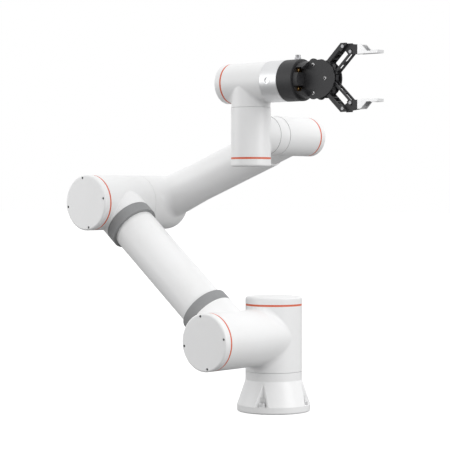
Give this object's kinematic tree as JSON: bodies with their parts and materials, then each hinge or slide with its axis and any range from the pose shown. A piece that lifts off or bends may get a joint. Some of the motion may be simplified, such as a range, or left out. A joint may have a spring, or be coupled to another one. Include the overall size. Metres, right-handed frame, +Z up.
{
  "type": "desktop robot arm",
  "caption": "Jointed robot arm on a bolted pedestal, with a parallel linkage gripper whose fingers are driven by a rack.",
  "frame": {"origin": "centre of the pedestal bottom face, on the waist axis", "axes": "+Z up along the waist axis; +X the way the gripper points at rest; -Y the side with the shoulder and elbow caps"},
  "size_m": [0.7266, 0.3009, 0.7406],
  "materials": {
    "white_paint": "white satin powder coat on cast aluminium",
    "orange_ring": "satin",
    "grey_rubber": "matte",
    "flange_aluminium": "turned",
    "black_anodised": "matte black",
    "tip_aluminium": "bright",
    "screw_steel": "satin",
    "brass": "bright",
    "motor_steel": "machined",
    "reducer_metal": "machined",
    "rack_steel": "blackened"
  },
  "bodies": {
    "base": {"base_pedestal": "white_paint", "base_bolts": "screw_steel"},
    "shoulder": {"shoulder_housing": "white_paint", "j1_ring": "orange_ring", "j1_cap": "white_paint", "j1_cap_screws": "screw_steel", "j1_motor": "motor_steel", "j1_reducer": "reducer_metal"},
    "upper_arm": {"j2_housing": "white_paint", "j2_ring": "orange_ring", "j2_cap": "white_paint", "j2_motor": "motor_steel", "j2_reducer": "reducer_metal", "arm_collars": "grey_rubber", "upper_arm_tube": "white_paint", "j3_housing": "white_paint", "j3_ring": "orange_ring", "j3_cap": "white_paint", "j3_motor": "motor_steel", "j3_reducer": "reducer_metal", "arm_cap_screws": "screw_steel"},
    "forearm": {"forearm_casting": "white_paint", "j4_housing": "white_paint", "j4_ring": "orange_ring", "j4_cap": "white_paint", "j4_cap_screws": "screw_steel", "j4_motor": "motor_steel", "j4_reducer": "reducer_metal"},
    "wrist_1": {"wrist_1_housing": "white_paint", "j5_ring": "orange_ring", "j5_cap": "white_paint", "j5_cap_screws": "screw_steel", "j5_motor": "motor_steel", "j5_reducer": "reducer_metal"},
    "wrist_2": {"wrist_2_housing": "white_paint", "j6_ring": "orange_ring", "j6_cap": "white_paint", "j6_cap_screws": "screw_steel", "j6_motor": "motor_steel", "j6_reducer": "reducer_metal"},
    "tool": {"tool_flange": "flange_aluminium", "gripper_adaptor": "black_anodised", "gripper_body": "black_anodised", "gripper_motor": "reducer_metal", "gripper_connector": "screw_steel", "gripper_mount_screws": "brass", "side_plates": "black_anodised", "plate_screws": "screw_steel", "root_pins": "screw_steel"},
    "rack": {"drive_rack": "rack_steel"},
    "upper_outer": {"upper_outer_link": "black_anodised"},
    "upper_inner": {"upper_inner_link": "black_anodised"},
    "upper_tip": {"upper_tip_carrier": "black_anodised", "upper_tip_pins": "screw_steel", "upper_fingertip": "tip_aluminium"},
    "lower_outer": {"lower_outer_link": "black_anodised"},
    "lower_inner": {"lower_inner_link": "black_anodised"},
    "lower_tip": {"lower_tip_carrier": "black_anodised", "lower_tip_pins": "screw_steel", "lower_fingertip": "tip_aluminium"}
  },
  "joints": [
    {"name": "waist_turn", "type": "hinge", "parent": "base", "child": "shoulder", "pos_m": [0, 0, 0.0813], "axis": [0, 0, 1], "range_deg": [-175, 175]},
    {"name": "shoulder_lift", "type": "hinge", "parent": "shoulder", "child": "upper_arm", "pos_m": [0, 0, 0.152], "axis": [0, 1, 0], "range_deg": [-124, 225]},
    {"name": "elbow_bend", "type": "hinge", "parent": "upper_arm", "child": "forearm", "pos_m": [-0.32747, 0, 0.4229], "axis": [0, 1, 0], "range_deg": [-260, 30]},
    {"name": "wrist_bend", "type": "hinge", "parent": "forearm", "child": "wrist_1", "pos_m": [0.02912, 0, 0.55765], "axis": [0, 1, 0], "range_deg": [-160, 100]},
    {"name": "wrist_turn", "type": "hinge", "parent": "wrist_1", "child": "wrist_2", "pos_m": [0.02912, -0.1073, 0.55765], "axis": [0, 0, 1], "range_deg": [-175, 175]},
    {"name": "tool_turn", "type": "hinge", "parent": "wrist_2", "child": "tool", "pos_m": [0.02912, -0.1073, 0.65965], "axis": [1, 0, 0], "range_deg": [-175, 175]},
    {"name": "finger_drive", "type": "hinge", "parent": "tool", "child": "upper_outer", "pos_m": [0.22152, -0.1073, 0.67995], "axis": [0, 1, 0], "range_deg": [0, 47.5]},
    {"name": "upper_inner_pivot", "type": "hinge", "parent": "tool", "child": "upper_inner", "pos_m": [0.23762, -0.1073, 0.66945], "axis": [0, 1, 0], "range_deg": [0, 48]},
    {"name": "upper_tip_pivot", "type": "hinge", "parent": "upper_outer", "child": "upper_tip", "pos_m": [0.26129, -0.1073, 0.71795], "axis": [0, 1, 0], "range_deg": [-48, 0]},
    {"name": "lower_outer_pivot", "type": "hinge", "parent": "tool", "child": "lower_outer", "pos_m": [0.22152, -0.1073, 0.63935], "axis": [0, 1, 0], "range_deg": [-48, 0]},
    {"name": "lower_inner_pivot", "type": "hinge", "parent": "tool", "child": "lower_inner", "pos_m": [0.23762, -0.1073, 0.64985], "axis": [0, 1, 0], "range_deg": [-48, 0]},
    {"name": "lower_tip_pivot", "type": "hinge", "parent": "lower_outer", "child": "lower_tip", "pos_m": [0.26129, -0.1073, 0.60135], "axis": [0, 1, 0], "range_deg": [0, 48]},
    {"name": "rack_slide", "type": "slide", "parent": "tool", "child": "rack", "axis": [1, 0, 0], "range_m": [-0.0127, 0]}
  ],
  "couplings": [
    {"joint": "upper_inner_pivot", "follows": "finger_drive", "ratio": 1},
    {"joint": "upper_tip_pivot", "follows": "finger_drive", "ratio": -1},
    {"joint": "lower_outer_pivot", "follows": "finger_drive", "ratio": -1},
    {"joint": "lower_inner_pivot", "follows": "finger_drive", "ratio": -1},
    {"joint": "lower_tip_pivot", "follows": "finger_drive", "ratio": 1},
    {"joint": "rack_slide", "follows": "finger_drive", "m_per_rad": -0.015}
  ]
}
